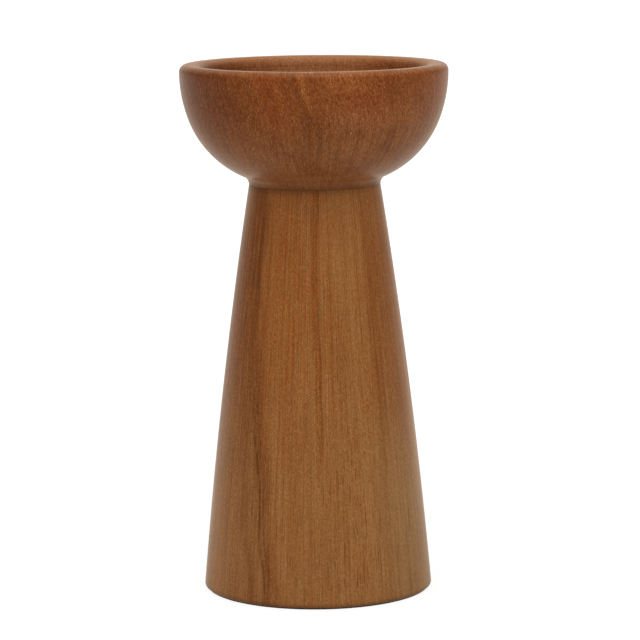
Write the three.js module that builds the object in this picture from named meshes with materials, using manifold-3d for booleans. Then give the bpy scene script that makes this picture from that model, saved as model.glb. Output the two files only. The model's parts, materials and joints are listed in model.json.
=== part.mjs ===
// Turned wooden holder for a pillar candle: a bowl on a tapered pedestal.
// Millimetres, +Z up. The origin is the middle of the underside, where the holder rests.

import * as THREE from 'three';
import { mergeVertices } from 'three/addons/utils/BufferGeometryUtils.js';
import Module from 'manifold-3d';

// Candle that the bowl is made for
const CANDLE_RADIUS = 37.5;
const SEAT_CLEARANCE = 1; // round the candle, on the flat floor

// Bowl, inside
const SEAT_DEPTH = 31; // from the top of the rim down to the floor
const SEAT_CORNER = 6; // round between floor and wall
const MOUTH_FLARE = 8; // the mouth is this much wider than the flat floor, all round
const RIM_INNER_ROUND = 2;

// Bowl, outside
const RIM_WALL = 9.5; // thickness at the rim
const RIM_OUTER_ROUND = 3;
const FLANK_ARC = 57; // radius of the steep arc below the rim
const FLANK_DROP = 19.7; // height of that arc, from the widest line down
const NECK_COVE = 3.8; // hollow between the foot of the bowl and its belly
const FLOOR_THICKNESS = 19.2; // from the neck joint up to the floor

// Pedestal
const PEDESTAL_HEIGHT = 170.5;
const NECK_RADIUS = 27.5; // shared by the pedestal's top and the bowl's foot
const BASE_RADIUS = 48;
const SIDE_BOW = 1.5; // swell of the side at mid-height
const BASE_EDGE = 1; // eased lower edge

// Dowel that joins the two turnings
const DOWEL_RADIUS = 10;
const BORE_COVER = 7; // wood left between the bowl's bore and its floor
const DOWEL_IN_PEDESTAL = 28;
const DOWEL_CHAMFER = 1.5;
const FLUTE_COUNT = 12;
const FLUTE_DEPTH = 0.6;
const FLUTE_RADIUS = 1.1; // of the cutter that leaves each flute
const GLUE_GAP = 0.2; // between dowel and bore, all round
const GLUE_WELL = 1; // room for glue past each end of the dowel
const BORE_CHAMFER = 0.8;

// Pad under the base
const PAD_THICKNESS = 0.6;
const PAD_INSET = 1.2; // from the pedestal's widest edge to the edge of the pad

// Facets
const ROUND_FACETS = 64; // around each turning
const ARC_STEPS = 6; // along each arc of a profile
const SIDE_STEPS = 10; // along the pedestal's bowed side
const FLUTE_FACETS = 12;
const CUTTER_OVERRUN = 1; // how far a cutter runs past the ends of the dowel

// Sizes and heights that follow
const SEAT_RADIUS = CANDLE_RADIUS + SEAT_CLEARANCE;
const MOUTH_RADIUS = SEAT_RADIUS + MOUTH_FLARE;
const BOWL_RADIUS = MOUTH_RADIUS + RIM_WALL;
const BOWL_HEIGHT = FLOOR_THICKNESS + SEAT_DEPTH;
const BORE_RADIUS = DOWEL_RADIUS + GLUE_GAP;
const DOWEL_IN_BOWL = FLOOR_THICKNESS - BORE_COVER - GLUE_WELL;
const PEDESTAL_BOTTOM = PAD_THICKNESS;
const JOINT_HEIGHT = PEDESTAL_BOTTOM + PEDESTAL_HEIGHT;

const BOWL_WOOD = { color: 0x7c4526, roughness: 0.45, metalness: 0 };
const PEDESTAL_WOOD = { color: 0x87552e, roughness: 0.45, metalness: 0 };
const DOWEL_WOOD = { color: 0xcfae80, roughness: 0.7, metalness: 0 };
const PAD_FELT = { color: 0x2a2420, roughness: 0.95, metalness: 0 };

const QUARTER = Math.PI / 2;

function point(radius, height) {

	return new THREE.Vector2(radius, height);

}

// Points of an arc in the half-plane of a profile, both ends included.
function arc(center, radius, startAngle, endAngle) {

	const clockwise = endAngle < startAngle;
	const curve = new THREE.EllipseCurve(center.x, center.y, radius, radius, startAngle, endAngle, clockwise);
	return curve.getPoints(ARC_STEPS);

}

// Revolves a profile about Z. It starts and ends on the axis, with the outside running upwards.
function turn(profile, facets) {

	const SAME_PLACE = 1e-6;
	const points = profile.filter((p, i) => i === 0 || p.distanceTo(profile[i - 1]) > SAME_PLACE);
	return new THREE.LatheGeometry(points, facets).rotateX(QUARTER);

}

// Outside of the bowl from its foot to the flat of the rim. The belly arc is tangent to the
// cove at the foot and to the flank arc under the rim, which gives its radius and centre.
function bowlOutside() {

	const widestHeight = BOWL_HEIGHT - RIM_OUTER_ROUND;
	const flankCenter = point(BOWL_RADIUS - FLANK_ARC, widestHeight);
	const flankAngle = - Math.asin(FLANK_DROP / FLANK_ARC);
	const towardsFlankEnd = point(Math.cos(flankAngle), Math.sin(flankAngle));

	const coveCenter = point(NECK_RADIUS + NECK_COVE, 0);
	const between = flankCenter.clone().sub(coveCenter);
	const reach = FLANK_ARC + NECK_COVE;
	const shift = (reach ** 2 - between.lengthSq()) / (2 * (between.dot(towardsFlankEnd) + reach));
	const bellyArc = FLANK_ARC - shift;
	const bellyCenter = flankCenter.clone().addScaledVector(towardsFlankEnd, shift);
	const coveToBelly = bellyCenter.clone().sub(coveCenter).angle();

	const rimCenter = point(BOWL_RADIUS - RIM_OUTER_ROUND, widestHeight);
	return [
		...arc(coveCenter, NECK_COVE, Math.PI, coveToBelly),
		...arc(bellyCenter, bellyArc, coveToBelly - Math.PI, flankAngle),
		...arc(flankCenter, FLANK_ARC, flankAngle, 0),
		...arc(rimCenter, RIM_OUTER_ROUND, 0, QUARTER),
	];

}

// Inside of the bowl from the flat of the rim to the edge of the seat.
// The wall is a straight line, tangent to the round at the floor.
function bowlInside() {

	const rimCenter = point(MOUTH_RADIUS + RIM_INNER_ROUND, BOWL_HEIGHT - RIM_INNER_ROUND);
	const wallTop = point(MOUTH_RADIUS, rimCenter.y);
	const cornerCenter = point(SEAT_RADIUS, FLOOR_THICKNESS + SEAT_CORNER);
	const toWallTop = wallTop.clone().sub(cornerCenter);
	const tangentAngle = toWallTop.angle() - Math.acos(SEAT_CORNER / toWallTop.length());

	return [
		...arc(rimCenter, RIM_INNER_ROUND, QUARTER, Math.PI),
		...arc(cornerCenter, SEAT_CORNER, tangentAngle, - QUARTER),
	];

}

function bowl() {

	const boreDepth = DOWEL_IN_BOWL + GLUE_WELL;
	const profile = [
		point(0, boreDepth),
		point(BORE_RADIUS, boreDepth),
		point(BORE_RADIUS, BORE_CHAMFER),
		point(BORE_RADIUS + BORE_CHAMFER, 0),
		...bowlOutside(),
		...bowlInside(),
		point(0, FLOOR_THICKNESS),
	];
	return turn(profile, ROUND_FACETS);

}

function pedestal() {

	const boreFloor = PEDESTAL_HEIGHT - DOWEL_IN_PEDESTAL - GLUE_WELL;
	const edgeCenter = point(BASE_RADIUS - BASE_EDGE, BASE_EDGE);
	const sideFoot = point(BASE_RADIUS, BASE_EDGE);
	const sideTop = point(NECK_RADIUS, PEDESTAL_HEIGHT);
	const sideMiddle = sideFoot.clone().lerp(sideTop, 0.5);
	sideMiddle.x += 2 * SIDE_BOW;
	const side = new THREE.QuadraticBezierCurve(sideFoot, sideMiddle, sideTop);

	const profile = [
		point(0, 0),
		...arc(edgeCenter, BASE_EDGE, - QUARTER, 0),
		...side.getPoints(SIDE_STEPS),
		point(BORE_RADIUS + BORE_CHAMFER, PEDESTAL_HEIGHT),
		point(BORE_RADIUS, PEDESTAL_HEIGHT - BORE_CHAMFER),
		point(BORE_RADIUS, boreFloor),
		point(0, boreFloor),
	];
	return turn(profile, ROUND_FACETS);

}

function pad() {

	const radius = BASE_RADIUS - PAD_INSET;
	const profile = [
		point(0, 0),
		point(radius, 0),
		point(radius, PAD_THICKNESS),
		point(0, PAD_THICKNESS),
	];
	return turn(profile, ROUND_FACETS);

}

const wasm = await Module();
wasm.setup();

function toSolid(geometry) {

	const bare = geometry.clone();
	bare.deleteAttribute('normal');
	bare.deleteAttribute('uv');
	const merged = mergeVertices(bare);
	return new wasm.Manifold(new wasm.Mesh({
		numProp: 3,
		vertProperties: new Float32Array(merged.attributes.position.array),
		triVerts: new Uint32Array(merged.index.array),
	}));

}

function toGeometry(solid) {

	const mesh = solid.getMesh();
	const geometry = new THREE.BufferGeometry();
	geometry.setAttribute('position', new THREE.BufferAttribute(mesh.vertProperties, 3));
	geometry.setIndex(new THREE.BufferAttribute(mesh.triVerts, 1));
	geometry.computeVertexNormals();
	return geometry;

}

// Chamfered rod with straight flutes, which let air and spare glue out of the bores.
function dowel() {

	const length = DOWEL_IN_BOWL + DOWEL_IN_PEDESTAL;
	const tipRadius = DOWEL_RADIUS - DOWEL_CHAMFER;
	const rod = turn([
		point(0, 0),
		point(tipRadius, 0),
		point(DOWEL_RADIUS, DOWEL_CHAMFER),
		point(DOWEL_RADIUS, length - DOWEL_CHAMFER),
		point(tipRadius, length),
		point(0, length),
	], ROUND_FACETS);

	let solid = toSolid(rod);
	const cutterLength = length + 2 * CUTTER_OVERRUN;
	const cutterPlace = DOWEL_RADIUS - FLUTE_DEPTH + FLUTE_RADIUS;
	for (let i = 0; i < FLUTE_COUNT; i ++) {

		const cutter = new THREE.CylinderGeometry(FLUTE_RADIUS, FLUTE_RADIUS, cutterLength, FLUTE_FACETS);
		cutter.rotateX(QUARTER);
		cutter.translate(cutterPlace, 0, length / 2);
		cutter.rotateZ((i + 0.5) * 2 * Math.PI / FLUTE_COUNT);
		solid = solid.subtract(toSolid(cutter));

	}

	return toGeometry(solid);

}

function piece(name, geometry, finish, height) {

	const mesh = new THREE.Mesh(geometry, new THREE.MeshStandardMaterial(finish));
	mesh.name = name;
	mesh.position.z = height;
	return mesh;

}

const holder = new THREE.Group();
holder.add(
	piece('base_pad', pad(), PAD_FELT, 0),
	piece('pedestal', pedestal(), PEDESTAL_WOOD, PEDESTAL_BOTTOM),
	piece('neck_dowel', dowel(), DOWEL_WOOD, JOINT_HEIGHT - DOWEL_IN_PEDESTAL),
	piece('bowl', bowl(), BOWL_WOOD, JOINT_HEIGHT),
);

export default holder;
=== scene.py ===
"""Dresses a turned wooden candle holder: a bowl dowelled onto a tapered pedestal with a felt pad.

Lengths are in metres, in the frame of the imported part: +Z up along the turning axis, with the
origin under the middle of the pad and the viewer on the -Y side. Only the patterns of the
materials count in millimetres.
"""

import json
import math

import bpy
from bpy.props import FloatProperty, FloatVectorProperty, IntProperty, PointerProperty
from bpy.types import NodeSocket, Operator, Panel, PropertyGroup
from mathutils import Matrix, Vector


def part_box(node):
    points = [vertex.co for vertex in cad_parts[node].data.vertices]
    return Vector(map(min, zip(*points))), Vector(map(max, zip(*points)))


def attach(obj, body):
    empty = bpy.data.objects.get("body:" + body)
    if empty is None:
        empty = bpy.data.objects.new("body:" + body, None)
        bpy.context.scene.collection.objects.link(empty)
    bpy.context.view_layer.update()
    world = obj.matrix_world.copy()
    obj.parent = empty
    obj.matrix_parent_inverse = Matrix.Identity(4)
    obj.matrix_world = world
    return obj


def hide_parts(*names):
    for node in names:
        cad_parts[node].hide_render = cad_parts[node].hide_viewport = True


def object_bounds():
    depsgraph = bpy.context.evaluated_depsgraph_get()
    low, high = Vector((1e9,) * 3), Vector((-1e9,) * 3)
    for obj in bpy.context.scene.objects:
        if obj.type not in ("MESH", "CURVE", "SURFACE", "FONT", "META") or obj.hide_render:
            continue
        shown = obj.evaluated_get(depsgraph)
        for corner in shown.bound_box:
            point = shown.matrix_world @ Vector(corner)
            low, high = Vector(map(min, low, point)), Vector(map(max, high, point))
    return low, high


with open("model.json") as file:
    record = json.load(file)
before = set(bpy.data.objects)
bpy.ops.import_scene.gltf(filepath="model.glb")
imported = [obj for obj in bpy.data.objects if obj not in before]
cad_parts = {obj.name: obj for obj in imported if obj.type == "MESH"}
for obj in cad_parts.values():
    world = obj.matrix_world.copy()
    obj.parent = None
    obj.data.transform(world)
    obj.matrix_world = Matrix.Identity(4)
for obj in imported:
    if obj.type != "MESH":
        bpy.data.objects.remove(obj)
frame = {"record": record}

bl_info = {
    "name": "Turned candle holder",
    "version": (1, 0, 0),
    "blender": (4, 5, 0),
    "location": "3D View > Sidebar > Candle holder",
    "description": "Models the finished pieces of a turned wooden candle holder",
    "category": "Object",
}

MM = 0.001
QUARTER = math.pi / 2

CAD_LOW, CAD_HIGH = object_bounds()
BOWL_LOW, BOWL_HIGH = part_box("bowl")
PEDESTAL_LOW, PEDESTAL_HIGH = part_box("pedestal")
DOWEL_LOW, DOWEL_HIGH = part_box("neck_dowel")
PAD_LOW, PAD_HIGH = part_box("base_pad")
SEAT = next(m for m in frame["record"]["mounts"] if m["name"] == "candle_seat")
SEAT_HEIGHT = SEAT["pos_m"][2]


def linear(hex_colour):
    """The linear RGB values of an sRGB colour written as #rrggbb."""
    shares = [int(hex_colour[i:i + 2], 16) / 255 for i in (1, 3, 5)]
    return [s / 12.92 if s <= 0.04045 else ((s + 0.055) / 1.055) ** 2.4 for s in shares]


def length(name, description, default):
    """A size that a user may change."""
    return FloatProperty(name=name, description=description, default=default, min=0.0,
                         precision=5, unit="LENGTH")


def colour(name, description, hex_colour):
    """A colour that a user may change."""
    return FloatVectorProperty(name=name, description=description, subtype="COLOR", size=3,
                               min=0.0, max=1.0, default=linear(hex_colour))


class BowlSettings(PropertyGroup):
    """Sizes and colours of the bowl."""
    radius: length("Radius", "Outside, at the widest line", BOWL_HIGH.x)
    foot: length("Foot", "Height of the joint with the pedestal", BOWL_LOW.z)
    top: length("Top", "Height of the rim", BOWL_HIGH.z)
    seat: length("Seat", "Height of the flat floor", SEAT_HEIGHT)
    seat_radius: length("Seat radius", "Flat floor that the candle stands on", 38.5 * MM)
    seat_corner: length("Seat corner", "Round between floor and wall", 6 * MM)
    mouth_flare: length("Mouth flare", "How much wider the mouth is than the floor", 8 * MM)
    rim_inner: length("Rim inner round", "Round on the inner edge of the rim", 4 * MM)
    rim_outer: length("Rim outer round", "Round on the outer edge of the rim", 3 * MM)
    flank_arc: length("Flank arc", "Radius of the steep arc below the rim", 57 * MM)
    flank_drop: length("Flank drop", "Height of the steep arc", 19.7 * MM)
    neck_cove: length("Neck cove", "Hollow above the joint", 3.8 * MM)
    foot_ease: length("Foot ease", "Sanded edge at the joint", 0.2 * MM)
    bore_radius: length("Bore radius", "Blind bore for the dowel", 10.2 * MM)
    bore_depth: length("Bore depth", "From the joint up", 12.2 * MM)
    bore_chamfer: length("Bore chamfer", "At the mouth of the bore", 0.8 * MM)
    mid: colour("Wood", "Main colour of the bowl", "#79401a")
    low: colour("Lower wood", "Browner wood of the belly", "#7f512e")
    dark: colour("Dark wood", "Left side and mottled patches", "#623215")
    light: colour("Light wood", "Pale streak and patch under the rim", "#965a2b")
    # Besides paler wood, this colour paints light in the hollow, along the rim and in the cove
    bare: colour("Bare wood", "Paler wood of hollow, rim, cove and right side", "#9c6740")
    red: colour("Red wood", "Warm layers and patches", "#7d3e18")
    # Also the painted shade along the joint
    streak: colour("Streak", "Dark streak, ribs and pores", "#4a2813")


class PedestalSettings(PropertyGroup):
    """Sizes and colours of the pedestal."""
    base_radius: length("Base radius", "Widest, just above the eased edge", PEDESTAL_HIGH.x)
    bottom: length("Bottom", "Height of the underside", PEDESTAL_LOW.z)
    top: length("Top", "Height of the joint with the bowl", PEDESTAL_HIGH.z)
    neck_radius: length("Neck radius", "At the joint with the bowl", 27.5 * MM)
    side_bow: length("Side bow", "Swell of the side at mid-height", 1.5 * MM)
    base_edge: length("Base edge", "Round on the lower edge", 1 * MM)
    neck_ease: length("Neck ease", "Sanded edge at the joint", 0.2 * MM)
    bore_radius: length("Bore radius", "Blind bore for the dowel", 10.2 * MM)
    bore_depth: length("Bore depth", "From the joint down", 29 * MM)
    bore_chamfer: length("Bore chamfer", "At the mouth of the bore", 0.8 * MM)
    mid: colour("Wood", "Main colour of the pedestal", "#865125")
    # Also the painted highlight on the left edge under the joint
    low: colour("Lower wood", "Yellower wood near the base and in stripes", "#8e6136")
    dark: colour("Dark wood", "Dark layer at the left and band at the right", "#733f18")
    light: colour("Light wood", "Pale layers in the middle and at the right", "#8a582c")
    red: colour("Red wood", "Ribbon and outermost layer at the left", "#7c461b")
    rust: colour("Rust wood", "Redder layer at the left side", "#713f19")
    warm: colour("Warm wood", "Thin orange stripes", "#944d1f")
    olive: colour("Olive wood", "Duller wood low at the right", "#87643b")
    # Also the painted shade along the joint and the lower edge
    streak: colour("Streak", "Thin dark lines and pores", "#542d12")
    fleck: colour("Flecks", "Short red flecks", "#6f3413")


class DowelSettings(PropertyGroup):
    """Sizes and colours of the dowel."""
    radius: length("Radius", "Over the ridges between flutes", DOWEL_HIGH.x)
    bottom: length("Bottom", "Height of the lower end", DOWEL_LOW.z)
    top: length("Top", "Height of the upper end", DOWEL_HIGH.z)
    chamfer: length("Chamfer", "At both ends", 1.5 * MM)
    flutes: IntProperty(name="Flutes", description="Number of glue flutes", default=12, min=3)
    flute_depth: length("Flute depth", "From the ridge to the bottom of a flute", 0.6 * MM)
    pale: colour("Pale wood", "Main colour of the beech", "#cfae80")
    tan: colour("Tan wood", "Fleck and grain of the beech", "#b08955")


class PadSettings(PropertyGroup):
    """Sizes and colours of the pad."""
    radius: length("Radius", "Edge of the disc", PAD_HIGH.x)
    bottom: length("Bottom", "Height of the underside", PAD_LOW.z)
    top: length("Top", "Height of the glued face", PAD_HIGH.z)
    edge: length("Edge", "Round of the cut edge", 0.15 * MM)
    dark: colour("Felt", "Main colour of the felt", "#1e1a17")
    pale: colour("Fuzz", "Loose fibres on the felt", "#3a332d")


class StageSettings(PropertyGroup):
    """Floor, light and camera."""
    floor_radius: length("Floor radius", "Round floor, past the edge of the picture", 9.0)
    floor: colour("Floor", "Paint of the floor", "#e0e0e0")
    tent: colour("Tent", "Warm cloth that gloss mirrors", "#fff6e5")
    around: FloatProperty(name="Light from around", description="Strength of the tent at the horizon",
                          default=0.54, min=0.0)
    overhead: FloatProperty(name="Light from above", description="What the tent gains towards its top",
                            default=0.80, min=0.0)
    walls: FloatProperty(name="Tent walls", description="How bright gloss mirrors the far side",
                         default=1.2, min=0.0)
    dim: FloatProperty(name="Dim side", description="How bright gloss mirrors the viewer's side",
                       default=0.25, min=0.0)
    lamp_power: FloatProperty(name="Lamp power", description="Of the overhead softbox, in watts",
                              default=8.0, min=0.0)
    lamp_size: length("Lamp size", "Across the overhead softbox", 1.4)
    lamp_place: FloatVectorProperty(name="Lamp place", description="Middle of the softbox",
                                    subtype="TRANSLATION", unit="LENGTH", size=3,
                                    default=(0.1, -1.0, 1.5))
    camera_place: FloatVectorProperty(name="Camera place", description="Where the camera stands",
                                      subtype="TRANSLATION", unit="LENGTH", size=3, precision=5,
                                      default=(1.71 * MM, -1334.0 * MM, 312.0 * MM))
    camera_pitch: FloatProperty(name="Camera pitch", description="How far it looks down",
                                subtype="ANGLE", default=math.radians(8.467))
    camera_roll: FloatProperty(name="Camera roll", description="How far it leans to the right",
                               subtype="ANGLE", default=math.radians(0.494))
    camera_lens: FloatProperty(name="Camera lens", description="Focal length on a 36 mm sensor",
                               subtype="DISTANCE_CAMERA", default=180.45)


# Turning

ROUND_STEPS = 128
SAME_PLACE = 1e-7
WELD_DISTANCE = 1e-6
CREASE_ANGLE = math.radians(32)


class Turning:
    """A lathe profile, drawn out from one vertex in the XZ plane and then spun about Z."""

    def __init__(self, name, radius, height):
        # A small plane is merged into the first vertex of the profile
        bpy.ops.object.select_all(action="DESELECT")
        bpy.ops.mesh.primitive_plane_add(size=MM)
        self.piece = bpy.context.object
        self.piece.name = name
        self.piece.data.name = name
        self.tip = Vector((radius, 0.0, height))
        bpy.ops.object.mode_set(mode="EDIT")
        bpy.ops.mesh.select_all(action="SELECT")
        bpy.ops.mesh.merge(type="CENTER")
        bpy.ops.transform.translate(value=self.tip)

    def line(self, radius, height, steps=1):
        """Draw a straight stretch to a radius and a height, in equal steps."""
        start = self.tip
        end = Vector((radius, 0.0, height))
        if (end - start).length < SAME_PLACE:
            return
        for step in range(1, steps + 1):
            point = start.lerp(end, step / steps)
            bpy.ops.mesh.extrude_region_move(TRANSFORM_OT_translate={"value": point - self.tip})
            self.tip = point

    def arc(self, centre, angle, steps):
        """Draw an arc about a centre (radius, height). A positive angle runs anticlockwise."""
        # The spin operator turns the other way round its axis than a rotation matrix does
        middle = Vector((centre[0], 0.0, centre[1]))
        bpy.ops.mesh.spin(steps=steps, angle=angle, center=middle, axis=(0, 1, 0))
        self.tip = middle + Matrix.Rotation(angle, 3, (0, -1, 0)) @ (self.tip - middle)

    def spin(self):
        """Revolve the profile and return the closed piece, with its place in its mesh."""
        bpy.ops.mesh.select_all(action="SELECT")
        bpy.ops.mesh.spin(steps=ROUND_STEPS, angle=2 * math.pi, center=(0, 0, 0), axis=(0, 0, 1))
        bpy.ops.mesh.select_all(action="SELECT")
        bpy.ops.mesh.remove_doubles(threshold=WELD_DISTANCE)
        bpy.ops.mesh.normals_make_consistent(inside=False)
        bpy.ops.object.mode_set(mode="OBJECT")
        bpy.ops.object.shade_smooth_by_angle(angle=CREASE_ANGLE)
        return self.piece


def finish_piece(piece, node, material):
    """Give a piece its material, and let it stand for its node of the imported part."""
    piece.data.materials.clear()
    piece.data.materials.append(material)
    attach(piece, "root")
    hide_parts(node)


# Materials. Their places and marks are in millimetres, with heights from the table up

NOISE_LOW, NOISE_HIGH = 0.3, 0.7  # most of a noise lies between these
WOOD_IOR = 1.5
SATIN_SHINE = 0.075


def new_material(name):
    """A material with an empty node tree."""
    material = bpy.data.materials.new(name)
    material.use_nodes = True
    material.node_tree.nodes.clear()
    return material


def add(tree, kind, links=None, stops=None, **settings):
    """Add a node. Links fill its inputs by name or number, with a value or another's output.

    A Mix node's inputs go by number: 0 is the share, 2 and 3 are numbers, 4 and 5 places, and
    6 and 7 colours. Stops are the places and colours of a colour ramp.
    """
    node = tree.nodes.new(kind)
    for name, value in settings.items():
        setattr(node, name, value)
    for key, value in (links or {}).items():
        if isinstance(value, NodeSocket):
            tree.links.new(value, node.inputs[key])
        else:
            node.inputs[key].default_value = value
    if stops:
        ramp = node.color_ramp
        while len(ramp.elements) < len(stops):
            ramp.elements.new(1.0)
        for element, (position, shade) in zip(ramp.elements, stops):
            element.position = position
            element.color = (*shade, 1.0)
    return node


def place_in_mm(tree):
    """The place on a piece, so that the scale of each pattern is a real size."""
    metres = add(tree, "ShaderNodeTexCoord").outputs["Object"]
    return add(tree, "ShaderNodeMapping", {
        "Vector": metres, "Scale": (1 / MM, 1 / MM, 1 / MM)}).outputs["Vector"]


def grain(tree, place, across, along, detail=2.0):
    """Noise drawn out along Z: across and along are the size of one mark."""
    stretched = add(tree, "ShaderNodeMapping", {
        "Vector": place, "Scale": (1 / across, 1 / across, 1 / along)})
    return add(tree, "ShaderNodeTexNoise", {
        "Vector": stretched.outputs["Vector"],
        "Scale": 1.0,
        "Detail": detail,
        "Roughness": 0.55,
    }).outputs["Fac"]


def wandering(tree, place, amount, across, along):
    """The place on the piece, pushed sideways by slow noise so that the layers wander."""
    slow = grain(tree, place, across, along, detail=1.5).node
    from_middle = add(tree, "ShaderNodeVectorMath", {
        0: slow.outputs["Color"], 1: (0.5, 0.5, 0.5)}, operation="SUBTRACT")
    return add(tree, "ShaderNodeVectorMath", {
        0: from_middle.outputs[0], 1: (amount, amount, 0.0), 2: place,
    }, operation="MULTIPLY_ADD").outputs[0]


def fanned(tree, place, radius):
    """The place on the piece, moved out to a cylinder, so that marks follow the slope of the side."""
    level = add(tree, "ShaderNodeVectorMath", {0: place, 1: (1, 1, 0)}, operation="MULTIPLY")
    outwards = add(tree, "ShaderNodeVectorMath", {0: level.outputs[0]}, operation="NORMALIZE")
    height = add(tree, "ShaderNodeVectorMath", {0: place, 1: (0, 0, 1)}, operation="MULTIPLY")
    return add(tree, "ShaderNodeVectorMath", {
        0: outwards.outputs[0], 1: (radius, radius, 0), 2: height.outputs[0],
    }, operation="MULTIPLY_ADD").outputs[0]


def gap(tree, value, middle):
    """How far a value lies from a middle, on either side."""
    offset = add(tree, "ShaderNodeMath", {0: value, 1: middle}, operation="SUBTRACT")
    return add(tree, "ShaderNodeMath", {0: offset.outputs[0]}, operation="ABSOLUTE").outputs[0]


def zone(tree, *ramps):
    """A soft-edged mask, 1 where every ramp is full. A ramp is (value, empty at, full at)."""
    mask = None
    for value, empty, full in ramps:
        ramp = add(tree, "ShaderNodeMapRange", {
            "Value": value, "From Min": empty, "From Max": full,
        }, interpolation_type="SMOOTHSTEP").outputs[0]
        if mask is None:
            mask = ramp
        else:
            mask = add(tree, "ShaderNodeMath", {0: mask, 1: ramp}, operation="MULTIPLY").outputs[0]
    return mask


def calmer(tree, pattern, mask, share):
    """A pattern that gives up a share of its contrast where a mask says so."""
    given_up = add(tree, "ShaderNodeMath", {0: mask, 1: share}, operation="MULTIPLY")
    return add(tree, "ShaderNodeMix", {
        0: given_up.outputs[0], 2: pattern, 3: 0.5}, data_type="FLOAT").outputs[0]


def layered(tree, across, layers):
    """Colours of the log's upright layers. Each layer is (place across, colour)."""
    half_width = 60
    share = add(tree, "ShaderNodeMapRange", {
        "Value": across, "From Min": -half_width, "From Max": half_width})
    stops = [((offset + half_width) / (2 * half_width), tuple(tint)) for offset, tint in layers]
    return add(tree, "ShaderNodeValToRGB", {"Fac": share.outputs[0]}, stops=stops).outputs["Color"]


def deepened(tree, tint, marks):
    """A colour with more or less of its own pigment. Each mark is a pattern and its strength."""
    depth = 1 - sum(strength for _, strength in marks) / 2
    for pattern, strength in marks:
        depth = add(tree, "ShaderNodeMath", {
            0: pattern, 1: strength, 2: depth}, operation="MULTIPLY_ADD").outputs[0]
    return add(tree, "ShaderNodeGamma", {"Color": tint, "Gamma": depth}).outputs[0]


def stained(tree, tint, stain, mask, strength):
    """A colour with a stain where a mask says so."""
    share = add(tree, "ShaderNodeMath", {0: mask, 1: strength}, operation="MULTIPLY")
    return add(tree, "ShaderNodeMix", {
        0: share.outputs[0], 6: tint, 7: (*stain, 1.0)}, data_type="RGBA").outputs[2]


def lacquered(tree, tint, relief):
    """Wood under a thin satin coat with little shine, which the relief of the fibres breaks up."""
    rough = add(tree, "ShaderNodeMapRange", {
        "Value": relief, "From Min": NOISE_LOW, "From Max": NOISE_HIGH,
        "To Min": 0.30, "To Max": 0.38})
    bump = add(tree, "ShaderNodeBump", {
        "Height": relief, "Strength": 0.25, "Distance": 0.1 * MM})
    surface = add(tree, "ShaderNodeBsdfPrincipled", {
        "Base Color": tint,
        "Roughness": rough.outputs[0],
        "Normal": bump.outputs[0],
        "IOR": WOOD_IOR,
        "Specular IOR Level": SATIN_SHINE,
    })
    add(tree, "ShaderNodeOutputMaterial", {"Surface": surface.outputs[0]})


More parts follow.
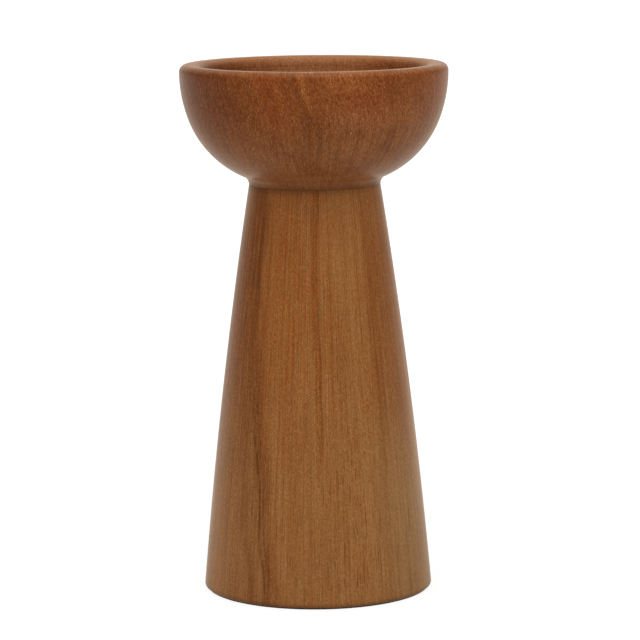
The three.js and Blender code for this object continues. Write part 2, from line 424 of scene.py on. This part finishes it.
def pedestal_wood(s):
    """Acacia, turned with its fibres upright, sanded and sprayed with a satin clear coat.

    It shows long stripes where the layers of the log meet the surface, fine fibres that follow
    the taper, hair-thin dark lines, a rippled ribbon and a few short red flecks.
    """
    material = new_material("turned acacia, satin clear coat, pedestal")
    tree = material.node_tree
    place = place_in_mm(tree)
    height = add(tree, "ShaderNodeSeparateXYZ", {0: place}).outputs["Z"]
    side = fanned(tree, place, radius=37)
    outer = add(tree, "ShaderNodeSeparateXYZ", {0: side}).outputs["X"]
    bent = wandering(tree, place, amount=5, across=30, along=40)

    # The layers of the log stand at a slant to the viewer, and the left ones lean in at the neck
    log_turn = math.radians(-14.6)
    neck_lean = -6.2
    log = add(tree, "ShaderNodeMapping", {
        "Vector": bent, "Rotation": (0.0, 0.0, log_turn)}).outputs["Vector"]
    across = add(tree, "ShaderNodeSeparateXYZ", {0: log}).outputs["X"]
    lean = zone(tree, (across, -15, -23), (height, 105, 170))
    across = add(tree, "ShaderNodeMath", {
        0: lean, 1: neck_lean, 2: across}, operation="MULTIPLY_ADD").outputs[0]
    tint = layered(tree, across, [
        (-48, s.red), (-43, s.rust), (-34.5, s.rust), (-33.5, s.dark), (-30.4, s.dark), (-29.4, s.mid),
        (-15, s.mid), (-10, s.light), (10, s.light), (16, s.mid), (24, s.light), (40, s.light),
    ])
    tint = stained(tree, tint, s.low, zone(tree, (height, 118, 25)), 0.62)

    # Dark hairs in the dark layer, and shaded streaks beside and below it
    hairs = grain(tree, side, across=0.5, along=18)
    hairs = zone(tree, (hairs, 0.52, 0.62), (gap(tree, across, -32.5), 6, 0),
                 (height, 40, 90), (height, 171, 155))
    tint = stained(tree, tint, s.streak, hairs, 0.8)
    shades = ((-30.2, 4.2, 125, 105), (-35.3, 1.3, 80, 100), (-37, 2.5, 60, 45))
    for middle, reach, empty, full in shades:
        shade = zone(tree, (gap(tree, across, middle), reach, 0), (height, empty, full))
        tint = stained(tree, tint, s.dark, shade, 0.65)

    # A broken, wavy double line runs on down from the dark layer, and a thin one low at the right
    broken = grain(tree, side, across=0.8, along=9)
    for middle, reach, strength in ((-32.4, 0.8, 0.75), (-31.0, 0.7, 0.5)):
        line = zone(tree, (gap(tree, across, middle), reach, 0), (broken, 0.34, 0.56),
                    (height, 105, 80))
        tint = stained(tree, tint, s.streak, line, strength)
    line = zone(tree, (gap(tree, across, 31), 0.7, 0), (height, 75, 55))
    tint = stained(tree, tint, s.streak, line, 0.4)

    # A dark band at the right, and a painted highlight on the left edge under the joint
    band = zone(tree, (outer, 20.5, 26.5), (outer, 39, 33), (height, 45, 85), (height, 173, 143))
    tint = stained(tree, tint, s.dark, band, 0.6)
    tint = stained(tree, tint, s.low, zone(tree, (outer, -31, -36), (height, 146, 164)), 0.5)

    # A darker ribbon climbs the front, with a crisp right edge and a bend to the right low down
    ribbon_shift = -2.0
    bend = zone(tree, (height, 110, 75))
    front = add(tree, "ShaderNodeSeparateXYZ", {0: bent}).outputs["X"]
    front = add(tree, "ShaderNodeMath", {
        0: bend, 1: ribbon_shift, 2: front}, operation="MULTIPLY_ADD").outputs[0]
    ribbon = zone(tree, (front, -2.2, -0.6), (front, 1.5, 1.2), (height, 45, 75))
    tint = stained(tree, tint, s.red, ribbon, 0.9)
    edge = zone(tree, (gap(tree, front, 0.8), 0.7, 0), (height, 55, 85))
    tint = stained(tree, tint, s.streak, edge, 0.3)

    # Thin stripes run from orange to yellow, most orange at the upper left. Olive low at the right
    stripes = grain(tree, side, across=0.7, along=11)
    orange = ((stripes, 0.46, 0.68), (across, -31, -26))
    tint = stained(tree, tint, s.warm, zone(tree, *orange), 0.22)
    tint = stained(tree, tint, s.warm, zone(tree, *orange, (height, 70, 120), (across, 4, -6)), 0.4)
    tint = stained(tree, tint, s.low, zone(tree, (stripes, 0.50, 0.32)), 0.3)
    tint = stained(tree, tint, s.olive, zone(tree, (outer, 17, 26), (height, 95, 45)), 0.55)

    # Ripples cross the ribbon in a herringbone. Their real pitch of 0.8 mm is drawn a little coarser
    ripple_pitch = 1.15
    ripple_slope = 0.6
    climb = add(tree, "ShaderNodeMath", {
        0: gap(tree, front, 0.0), 1: -ripple_slope, 2: height}, operation="MULTIPLY_ADD")
    phase = add(tree, "ShaderNodeMath", {
        0: climb.outputs[0], 1: 2 * math.pi / ripple_pitch}, operation="MULTIPLY")
    wave = add(tree, "ShaderNodeMath", {0: phase.outputs[0]}, operation="SINE")
    patches = grain(tree, side, across=6, along=20)
    rippled = zone(tree, (gap(tree, front, -2.5), 5.5, 0), (patches, 0.42, 0.58))
    ripples = add(tree, "ShaderNodeMath", {0: wave.outputs[0], 1: rippled}, operation="MULTIPLY")
    ripples = add(tree, "ShaderNodeMath", {
        0: ripples.outputs[0], 1: 0.5, 2: 0.5}, operation="MULTIPLY_ADD")

    # Fibres and fine marks, calmer near the base
    bands = grain(tree, side, across=1.6, along=300)
    fibres = grain(tree, side, across=0.3, along=60, detail=1.0)
    fibres = calmer(tree, fibres, zone(tree, (height, 100, 20)), 0.35)
    threads = grain(tree, side, across=0.26, along=0.9, detail=0.0)
    threads = calmer(tree, threads, zone(tree, (height, 60, 20)), 0.15)
    blotches = grain(tree, place, across=14, along=40)
    tint = deepened(tree, tint, [
        (bands, 0.27), (fibres, 0.50), (threads, 0.56), (blotches, 0.15), (ripples.outputs[0], 0.14)])
    pores = grain(tree, side, across=0.28, along=14, detail=1.0)
    tint = stained(tree, tint, s.streak, zone(tree, (pores, 0.60, 0.72)), 0.6)
    flecks = grain(tree, side, across=0.7, along=7, detail=0.5)
    flecks = zone(tree, (flecks, 0.62, 0.70), (height, 75, 60), (gap(tree, front, 13), 13, 0))
    tint = stained(tree, tint, s.fleck, flecks, 0.7)

    # Painted shade along the joint, most at the left, and on the lower edge
    joint = zone(tree, (gap(tree, height, s.top / MM), 3.5, 0), (outer, 45, 0))
    tint = stained(tree, tint, s.streak, joint, 0.46)
    # Painted shade on the eased lower edge
    lower_edge_shade = zone(tree, (gap(tree, height, s.bottom / MM), 2.5, 0))
    tint = stained(tree, tint, s.streak, lower_edge_shade, 0.6)
    lacquered(tree, tint, fibres)
    return material


def bowl_wood(s):
    """Acacia from a redder plank, with short interlocked fibres, under the same satin coat.

    The fibres spread from the neck like the ribs of a fan, so the eye sees short pale and dark
    hairs under the rim that draw out into fine lines around the foot. Inside, the tool has left
    faint rings.
    """
    material = new_material("turned acacia, satin clear coat, bowl")
    tree = material.node_tree
    place = place_in_mm(tree)
    parts = add(tree, "ShaderNodeSeparateXYZ", {0: place})
    depth = parts.outputs["Y"]
    height = parts.outputs["Z"]
    drop = add(tree, "ShaderNodeMath", {0: s.top / MM, 1: height}, operation="SUBTRACT").outputs[0]

    # The hollow lies inside a cone that stays within the wall, above the seat
    cone_radius = 45
    cone_slope = 0.16
    cone_foot = s.seat / MM - 0.5
    level = add(tree, "ShaderNodeVectorMath", {0: place, 1: (1, 1, 0)}, operation="MULTIPLY")
    radius = add(tree, "ShaderNodeVectorMath", {
        0: level.outputs[0]}, operation="LENGTH").outputs["Value"]
    above = add(tree, "ShaderNodeMath", {0: height, 1: cone_foot}, operation="SUBTRACT").outputs[0]
    cone = add(tree, "ShaderNodeMath", {
        0: above, 1: cone_slope, 2: cone_radius}, operation="MULTIPLY_ADD")
    within = add(tree, "ShaderNodeMath", {0: radius, 1: cone.outputs[0]}, operation="LESS_THAN")
    over = add(tree, "ShaderNodeMath", {0: above, 1: 0.0}, operation="GREATER_THAN")
    inside = add(tree, "ShaderNodeMath", {
        0: within.outputs[0], 1: over.outputs[0]}, operation="MULTIPLY").outputs[0]

    # Layers and fibres stand upright, and lean to the left under the rim
    rim_lean = 6.2
    leaned = add(tree, "ShaderNodeVectorMath", {
        0: zone(tree, (drop, 23, 0)), 1: (rim_lean, 0.0, 0.0), 2: place,
    }, operation="MULTIPLY_ADD").outputs[0]
    side = add(tree, "ShaderNodeMix", {
        0: inside, 4: fanned(tree, leaned, radius=50), 5: place}, data_type="VECTOR").outputs[1]
    bent = wandering(tree, leaned, amount=6, across=35, along=35)
    across = add(tree, "ShaderNodeSeparateXYZ", {0: bent}).outputs["X"]
    tint = layered(tree, across, [
        (-52, s.dark), (-36, s.dark), (-22, s.mid), (-14, s.red), (-6, s.mid), (10, s.mid),
        (22, s.red), (34, s.mid), (52, s.mid),
    ])
    tint = stained(tree, tint, s.low, zone(tree, (drop, 12, 39)), 0.7)
    right = zone(tree, (across, -2, 16), (gap(tree, drop, 23), 16, 0))
    tint = stained(tree, tint, s.bare, right, 0.26)
    blotches = grain(tree, bent, across=11, along=15)
    tint = stained(tree, tint, s.dark, zone(tree, (blotches, 0.42, 0.70)), 0.40)

    # A dark streak down the front, with a pale one beside it and a pale patch at the right
    streak = zone(tree, (gap(tree, across, -2.4), 2.2, 0), (drop, 57, 7))
    tint = stained(tree, tint, s.streak, streak, 0.35)
    for middle, reach, end, strength in ((1.0, 2.6, 23, 0.6), (19, 15, 11, 0.5)):
        pale = zone(tree, (gap(tree, across, middle), reach, 0), (drop, end, 6))
        tint = stained(tree, tint, s.light, pale, strength)
    warmth = grain(tree, side, across=1.4, along=5)
    tint = stained(tree, tint, s.red, zone(tree, (warmth, 0.48, 0.68), (drop, 34, 14)), 0.35)

    # Paler wood in the hollow, and painted light that is brightest in the middle of its back wall
    tint = stained(tree, tint, s.bare, inside, 0.1)
    tint = stained(tree, tint, s.bare, zone(tree, (inside, 0, 1), (gap(tree, across, 4), 42, 0)), 0.75)
    # Painted light along the rim, most of all on its far side
    rim = (drop, 2.5, 0.5)
    tint = stained(tree, tint, s.bare, zone(tree, rim), 0.3)
    tint = stained(tree, tint, s.bare, zone(tree, rim, (depth, -30, 30)), 0.45)
    # Painted light in the cove, over the shade where the surface faces down
    for above_foot, reach in ((3.1, 1.2), (5, 2.2)):
        cove = zone(tree, (gap(tree, height, s.foot / MM + above_foot), reach, 0))
        tint = stained(tree, tint, s.bare, cove, 0.2)

    # Fibres, short hairs and finer fuzz, with rings inside the hollow alone
    bands = grain(tree, side, across=1.8, along=60)
    fibres = grain(tree, side, across=0.35, along=22)
    hairs = grain(tree, side, across=0.32, along=1.5, detail=1.0)
    hairs = calmer(tree, hairs, zone(tree, (drop, 10, 36)), 0.35)
    fuzz = grain(tree, side, across=0.24, along=0.8, detail=0.0)
    ring_pitch = 1.1
    ring_place = add(tree, "ShaderNodeMath", {0: radius, 1: height}, operation="ADD")
    rings = add(tree, "ShaderNodeTexNoise", {
        "W": ring_place.outputs[0], "Scale": 1 / ring_pitch, "Detail": 2.0}, noise_dimensions="1D")
    rings = add(tree, "ShaderNodeMix", {
        0: inside, 2: 0.5, 3: rings.outputs["Fac"]}, data_type="FLOAT")
    tint = deepened(tree, tint, [
        (bands, 0.20), (fibres, 0.26), (hairs, 0.76), (fuzz, 0.60), (rings.outputs[0], 0.40)])
    pores = grain(tree, side, across=0.3, along=3, detail=1.0)
    tint = stained(tree, tint, s.streak, zone(tree, (pores, 0.62, 0.74)), 0.5)

    # Dark ribs fan out over the belly, most at the right, and painted shade darkens the joint
    ribs = grain(tree, side, across=0.6, along=30, detail=1.0)
    ribs = zone(tree, (ribs, 0.52, 0.68), (across, -40, 10), (drop, 14, 28))
    tint = stained(tree, tint, s.streak, ribs, 0.42)
    # Painted shade along the joint
    joint = zone(tree, (gap(tree, height, s.foot / MM), 2.4, 0))
    tint = stained(tree, tint, s.streak, joint, 0.35)
    lacquered(tree, tint, fibres)
    return material


def dowel_wood(s):
    """Bare beech, milled and fluted: pale and matt, with short tan flecks along the rod."""
    material = new_material("bare milled beech")
    tree = material.node_tree
    place = place_in_mm(tree)
    flecks = grain(tree, place, across=0.5, along=2.5)
    stripes = grain(tree, place, across=2, along=80)
    both = add(tree, "ShaderNodeMath", {0: flecks, 1: stripes}, operation="MULTIPLY")
    tint = add(tree, "ShaderNodeValToRGB", {"Fac": both.outputs[0]}, stops=[
        (0.15, tuple(s.tan)), (0.40, tuple(s.pale))])
    rough = add(tree, "ShaderNodeMapRange", {
        "Value": flecks, "From Min": NOISE_LOW, "From Max": NOISE_HIGH,
        "To Min": 0.62, "To Max": 0.78})
    bump = add(tree, "ShaderNodeBump", {
        "Height": flecks, "Strength": 0.3, "Distance": 0.1 * MM})
    surface = add(tree, "ShaderNodeBsdfPrincipled", {
        "Base Color": tint.outputs["Color"],
        "Roughness": rough.outputs[0],
        "Normal": bump.outputs[0],
        "IOR": WOOD_IOR,
    })
    add(tree, "ShaderNodeOutputMaterial", {"Surface": surface.outputs[0]})
    return material


def pad_felt(s):
    """Pressed wool felt, dyed dark: no gloss, with a loose fuzz of crossed fibres."""
    fibre_spacing = 0.6
    material = new_material("dark pressed felt")
    tree = material.node_tree
    fuzz = add(tree, "ShaderNodeTexNoise", {
        "Vector": place_in_mm(tree), "Scale": 1 / fibre_spacing, "Detail": 4.0, "Roughness": 0.6})
    tint = add(tree, "ShaderNodeValToRGB", {"Fac": fuzz.outputs[0]}, stops=[
        (0.35, tuple(s.dark)), (0.75, tuple(s.pale))])
    rough = add(tree, "ShaderNodeMapRange", {
        "Value": fuzz.outputs[0], "To Min": 0.9, "To Max": 1.0})
    bump = add(tree, "ShaderNodeBump", {
        "Height": fuzz.outputs[0], "Strength": 0.6, "Distance": 0.2 * MM})
    surface = add(tree, "ShaderNodeBsdfPrincipled", {
        "Base Color": tint.outputs["Color"],
        "Roughness": rough.outputs[0],
        "Normal": bump.outputs[0],
        "Sheen Weight": 0.3,
        "Sheen Roughness": 0.5,
    })
    add(tree, "ShaderNodeOutputMaterial", {"Surface": surface.outputs[0]})
    return material


# Floor and light

WHITE = (1.0, 1.0, 1.0, 1.0)


def looked_at(tree):
    """1 for what the camera sees directly, mirrored or through glass, and 0 for plain light."""
    path = add(tree, "ShaderNodeLightPath")
    looks = add(tree, "ShaderNodeMath", {
        0: path.outputs["Is Camera Ray"], 1: path.outputs["Is Glossy Ray"]}, operation="MAXIMUM")
    return add(tree, "ShaderNodeMath", {
        0: looks.outputs[0], 1: path.outputs["Is Transmission Ray"]}, operation="MAXIMUM").outputs[0]


def floor_paint(s):
    """Matt white paint that looks white to the camera and still takes a soft shadow."""
    shadow_grey = 0.15  # the camera sees this share of the light on the floor, over a glow
    near_glow, near_distance = 0.86, 0.15  # beside the object, where the lamp adds the most
    far_glow, far_distance = 1.0, 0.8
    dim_until, bright_from = -0.5, 0.2  # places along Y, for the floor that gloss mirrors
    material = new_material("matt white floor")
    tree = material.node_tree
    painted = add(tree, "ShaderNodeBsdfDiffuse", {"Color": (*s.floor, 1.0)})
    shaded = add(tree, "ShaderNodeBsdfDiffuse", {
        "Color": (shadow_grey, shadow_grey, shadow_grey, 1.0)})
    place = add(tree, "ShaderNodeTexCoord").outputs["Object"]
    distance = add(tree, "ShaderNodeVectorMath", {0: place}, operation="LENGTH").outputs["Value"]
    plain = add(tree, "ShaderNodeMapRange", {
        "Value": distance, "From Min": near_distance, "From Max": far_distance,
        "To Min": near_glow, "To Max": far_glow})
    depth = add(tree, "ShaderNodeSeparateXYZ", {0: place}).outputs["Y"]
    mirrored = add(tree, "ShaderNodeMapRange", {
        "Value": depth, "From Min": dim_until, "From Max": bright_from,
        "To Min": s.dim, "To Max": s.walls})
    in_gloss = add(tree, "ShaderNodeLightPath").outputs["Is Glossy Ray"]
    bright = add(tree, "ShaderNodeMix", {
        0: in_gloss, 2: plain.outputs[0], 3: mirrored.outputs[0]}, data_type="FLOAT")
    shine = add(tree, "ShaderNodeMix", {0: in_gloss, 6: WHITE, 7: (*s.tent, 1.0)}, data_type="RGBA")
    glow = add(tree, "ShaderNodeEmission", {
        "Color": shine.outputs[2], "Strength": bright.outputs[0]})
    seen = add(tree, "ShaderNodeAddShader", {0: shaded.outputs[0], 1: glow.outputs[0]})
    surface = add(tree, "ShaderNodeMixShader", {
        0: looked_at(tree), 1: painted.outputs[0], 2: seen.outputs[0]})
    add(tree, "ShaderNodeOutputMaterial", {"Surface": surface.outputs[0]})
    return material


def tent_light(s):
    """Even light from a white tent. The camera sees white, and gloss a warm tent, dim in front."""
    bright_from = 0.5  # how far a direction points away from the viewer, of 1
    roof_from = 0.3  # how far it points up, of 1
    world = bpy.data.worlds.new("even room light")
    world.use_nodes = True
    tree = world.node_tree
    tree.nodes.clear()
    direction = add(tree, "ShaderNodeTexCoord").outputs["Generated"]
    parts = add(tree, "ShaderNodeSeparateXYZ", {0: direction})
    top = add(tree, "ShaderNodeMapRange", {"Value": parts.outputs["Z"], "To Max": s.overhead})
    plain = add(tree, "ShaderNodeMath", {0: top.outputs[0], 1: s.around}, operation="ADD")
    walls = add(tree, "ShaderNodeMapRange", {
        "Value": parts.outputs["Y"], "From Min": bright_from, "From Max": 1.0,
        "To Min": s.dim, "To Max": s.walls})
    roof = zone(tree, (parts.outputs["Z"], roof_from, 1.0))
    mirrored = add(tree, "ShaderNodeMath", {
        0: roof, 1: s.overhead, 2: walls.outputs[0]}, operation="MULTIPLY_ADD")
    in_gloss = add(tree, "ShaderNodeLightPath").outputs["Is Glossy Ray"]
    shown = add(tree, "ShaderNodeMix", {
        0: in_gloss, 2: 1.0, 3: mirrored.outputs[0]}, data_type="FLOAT")
    strength = add(tree, "ShaderNodeMix", {
        0: looked_at(tree), 2: plain.outputs[0], 3: shown.outputs[0]}, data_type="FLOAT")
    shine = add(tree, "ShaderNodeMix", {0: in_gloss, 6: WHITE, 7: (*s.tent, 1.0)}, data_type="RGBA")
    light = add(tree, "ShaderNodeBackground", {
        "Color": shine.outputs[2], "Strength": strength.outputs[0]})
    add(tree, "ShaderNodeOutputWorld", {"Surface": light.outputs[0]})
    return world


# Pieces


class HOLDER_OT_bowl(Operator):
    """Turn the bowl: cove, belly, flank, rolled rim, and a hollow with a flat candle seat"""
    bl_idname = "holder.bowl"
    bl_label = "Bowl"

    def execute(self, context):
        s = context.scene.holder_bowl
        neck_radius = context.scene.holder_pedestal.neck_radius
        widest = Vector((s.radius, s.top - s.rim_outer))
        flank_centre = Vector((s.radius - s.flank_arc, widest.y))
        flank_angle = -math.asin(s.flank_drop / s.flank_arc)
        flank_end = Vector((math.cos(flank_angle), math.sin(flank_angle)))

        # The belly arc touches the cove and the flank arc, which gives its radius and centre
        cove_centre = Vector((neck_radius + s.neck_cove, s.foot))
        between = flank_centre - cove_centre
        reach = s.flank_arc + s.neck_cove
        shift = (reach ** 2 - between.length_squared) / (2 * (between.dot(flank_end) + reach))
        belly_centre = flank_centre + shift * flank_end
        to_belly = belly_centre - cove_centre
        cove_end = math.atan2(to_belly.y, to_belly.x)
        cove_start = math.pi - math.asin(s.foot_ease / s.neck_cove)

        bore_top = s.foot + s.bore_depth
        turning = Turning("candle_bowl", 0.0, bore_top)
        turning.line(s.bore_radius, bore_top)
        turning.line(s.bore_radius, s.foot + s.bore_chamfer)
        turning.line(s.bore_radius + s.bore_chamfer, s.foot)
        turning.line(neck_radius - s.foot_ease, s.foot)
        turning.arc((neck_radius - s.foot_ease, s.foot + s.foot_ease), QUARTER, steps=6)
        turning.line(cove_centre.x + s.neck_cove * math.cos(cove_start), s.foot + s.foot_ease)
        turning.arc(cove_centre, cove_end - cove_start, steps=12)
        turning.arc(belly_centre, flank_angle - (cove_end - math.pi), steps=28)
        turning.arc(flank_centre, -flank_angle, steps=12)
        turning.arc((s.radius - s.rim_outer, widest.y), QUARTER, steps=10)

        mouth_radius = s.seat_radius + s.mouth_flare
        wall_top = Vector((mouth_radius, s.top - s.rim_inner))
        corner_centre = Vector((s.seat_radius, s.seat + s.seat_corner))
        to_wall_top = wall_top - corner_centre
        tangent = math.atan2(to_wall_top.y, to_wall_top.x)
        tangent -= math.acos(s.seat_corner / to_wall_top.length)
        wall_foot = corner_centre + s.seat_corner * Vector((math.cos(tangent), math.sin(tangent)))
        turning.line(mouth_radius + s.rim_inner, s.top)
        turning.arc((mouth_radius + s.rim_inner, wall_top.y), QUARTER, steps=10)
        turning.line(*wall_foot, steps=8)
        turning.arc(corner_centre, -QUARTER - tangent, steps=10)
        turning.line(0.0, s.seat, steps=8)
        finish_piece(turning.spin(), "bowl", bowl_wood(s))
        return {"FINISHED"}


class HOLDER_OT_pedestal(Operator):
    """Turn the pedestal: eased base, slightly swollen taper, and the bore for the dowel"""
    bl_idname = "holder.pedestal"
    bl_label = "Pedestal"

    def execute(self, context):
        s = context.scene.holder_pedestal
        side_foot = Vector((s.base_radius, s.bottom + s.base_edge))
        side_top = Vector((s.neck_radius, s.top - s.neck_ease))
        chord = side_top - side_foot
        bow_radius = chord.length ** 2 / (8 * s.side_bow) + s.side_bow / 2
        inwards = Vector((-chord.y, chord.x)).normalized()
        bow_centre = (side_foot + side_top) / 2 + inwards * (bow_radius - s.side_bow)
        bow_angle = 2 * math.asin(chord.length / 2 / bow_radius)

        turning = Turning("tapered_pedestal", 0.0, s.bottom)
        turning.line(s.base_radius - s.base_edge, s.bottom, steps=6)
        turning.arc((s.base_radius - s.base_edge, side_foot.y), QUARTER, steps=10)
        turning.arc(bow_centre, bow_angle, steps=48)
        turning.arc((s.neck_radius - s.neck_ease, side_top.y), QUARTER, steps=6)
        turning.line(s.bore_radius + s.bore_chamfer, s.top)
        turning.line(s.bore_radius, s.top - s.bore_chamfer)
        turning.line(s.bore_radius, s.top - s.bore_depth)
        turning.line(0.0, s.top - s.bore_depth)
        finish_piece(turning.spin(), "pedestal", pedestal_wood(s))
        return {"FINISHED"}


class HOLDER_OT_dowel(Operator):
    """Model the fluted dowel that joins the two turnings"""
    bl_idname = "holder.dowel"
    bl_label = "Dowel"

    SIDES_PER_FLUTE = 8
    FLUTE_CREASE = math.radians(25)

    def execute(self, context):
        s = context.scene.holder_dowel
        sides = s.flutes * self.SIDES_PER_FLUTE
        bpy.ops.object.select_all(action="DESELECT")
        bpy.ops.mesh.primitive_cylinder_add(
            vertices=sides, radius=s.radius, depth=s.top - s.bottom,
            location=(0, 0, (s.top + s.bottom) / 2))
        dowel = context.object
        dowel.name = "fluted_dowel"
        dowel.data.name = "fluted_dowel"
        bpy.ops.object.transform_apply(location=True, rotation=True, scale=True)

        bpy.ops.object.mode_set(mode="EDIT")
        bpy.ops.mesh.select_all(action="DESELECT")
        bpy.ops.object.mode_set(mode="OBJECT")
        for polygon in dowel.data.polygons:
            faces_end = abs(polygon.normal.z) > 0.9
            polygon.select = faces_end
        bpy.ops.object.mode_set(mode="EDIT")
        bpy.ops.mesh.select_mode(type="FACE")
        bpy.ops.mesh.bevel(offset=s.chamfer, offset_type="WIDTH", segments=1, affect="EDGES")

        # Sink the vertices in the middle of each flute, in two steps that make it round
        shrink = 1 - s.flute_depth / 2 / s.radius
        bpy.ops.mesh.select_mode(type="VERT")
        for reach in (1, 0):
            bpy.ops.mesh.select_all(action="DESELECT")
            bpy.ops.object.mode_set(mode="OBJECT")
            for vertex in dowel.data.vertices:
                turn = math.atan2(vertex.co.y, vertex.co.x) / (2 * math.pi) * s.flutes
                sides_off = abs((turn % 1.0) - 0.5) * self.SIDES_PER_FLUTE
                vertex.select = round(sides_off) <= reach
            bpy.ops.object.mode_set(mode="EDIT")
            bpy.ops.transform.resize(value=(shrink, shrink, 1.0))
        bpy.ops.object.mode_set(mode="OBJECT")
        bpy.ops.object.shade_smooth_by_angle(angle=self.FLUTE_CREASE)
        finish_piece(dowel, "neck_dowel", dowel_wood(s))
        return {"FINISHED"}


class HOLDER_OT_pad(Operator):
    """Cut the felt disc under the pedestal"""
    bl_idname = "holder.pad"
    bl_label = "Pad"

    def execute(self, context):
        s = context.scene.holder_pad
        turning = Turning("felt_pad", 0.0, s.bottom)
        turning.line(s.radius - s.edge, s.bottom, steps=8)
        turning.arc((s.radius - s.edge, s.bottom + s.edge), QUARTER, steps=4)
        turning.line(s.radius, s.top - s.edge)
        turning.arc((s.radius - s.edge, s.top - s.edge), QUARTER, steps=4)
        turning.line(0.0, s.top)
        finish_piece(turning.spin(), "base_pad", pad_felt(s))
        return {"FINISHED"}


class HOLDER_OT_stage(Operator):
    """Lay the floor, and set the light and the camera"""
    bl_idname = "holder.stage"
    bl_label = "Stage"

    FLOOR_SIDES = 96
    SENSOR_WIDTH = 36.0

    def execute(self, context):
        scene = context.scene
        s = scene.holder_stage
        bpy.ops.object.select_all(action="DESELECT")
        bpy.ops.mesh.primitive_circle_add(
            vertices=self.FLOOR_SIDES, radius=s.floor_radius, fill_type="NGON")
        floor = context.object
        floor.name = "floor"
        floor.data.materials.append(floor_paint(s))
        scene.world = tent_light(s)

        middle = Vector((0.0, 0.0, CAD_HIGH.z / 2))
        bpy.ops.object.light_add(type="AREA", location=s.lamp_place)
        lamp = context.object
        lamp.name = "overhead softbox"
        lamp.rotation_euler = (middle - lamp.location).to_track_quat("-Z", "Y").to_euler()
        lamp.data.shape = "DISK"
        lamp.data.size = s.lamp_size
        lamp.data.energy = s.lamp_power

        bpy.ops.object.camera_add()
        camera = context.object
        camera.name = "camera"
        camera.matrix_world = (
            Matrix.Translation(s.camera_place)
            @ Matrix.Rotation(QUARTER - s.camera_pitch, 4, "X")
            @ Matrix.Rotation(-s.camera_roll, 4, "Z"))
        camera.data.sensor_width = self.SENSOR_WIDTH
        camera.data.lens = s.camera_lens
        scene.camera = camera
        scene.view_settings.view_transform = "Standard"
        return {"FINISHED"}


class HOLDER_PT_pieces(Panel):
    """Lists the operators of the candle holder, with their settings"""
    bl_label = "Candle holder"
    bl_idname = "HOLDER_PT_pieces"
    bl_space_type = "VIEW_3D"
    bl_region_type = "UI"
    bl_category = "Candle holder"

    def draw(self, context):
        for operator, settings in OPERATORS:
            box = self.layout.box()
            box.operator(operator.bl_idname)
            group = getattr(context.scene, settings)
            for name in group.bl_rna.properties.keys():
                if name not in ("rna_type", "name"):
                    box.prop(group, name)


OPERATORS = (
    (HOLDER_OT_stage, "holder_stage"),
    (HOLDER_OT_pad, "holder_pad"),
    (HOLDER_OT_pedestal, "holder_pedestal"),
    (HOLDER_OT_dowel, "holder_dowel"),
    (HOLDER_OT_bowl, "holder_bowl"),
)
SETTINGS = {
    "holder_bowl": BowlSettings,
    "holder_pedestal": PedestalSettings,
    "holder_dowel": DowelSettings,
    "holder_pad": PadSettings,
    "holder_stage": StageSettings,
}


def register():
    """Add the settings, the operators and the panel."""
    for name, group in SETTINGS.items():
        bpy.utils.register_class(group)
        setattr(bpy.types.Scene, name, PointerProperty(type=group))
    for operator, _ in OPERATORS:
        bpy.utils.register_class(operator)
    bpy.utils.register_class(HOLDER_PT_pieces)


def unregister():
    """Take the panel, the operators and the settings out again."""
    bpy.utils.unregister_class(HOLDER_PT_pieces)
    for operator, _ in OPERATORS:
        bpy.utils.unregister_class(operator)
    for name, group in SETTINGS.items():
        delattr(bpy.types.Scene, name)
        bpy.utils.unregister_class(group)


def main():
    """Set the stage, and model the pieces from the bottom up."""
    register()
    bpy.ops.holder.stage()
    bpy.ops.holder.pad()
    bpy.ops.holder.pedestal()
    bpy.ops.holder.dowel()
    bpy.ops.holder.bowl()


if __name__ == "__main__":
    main()
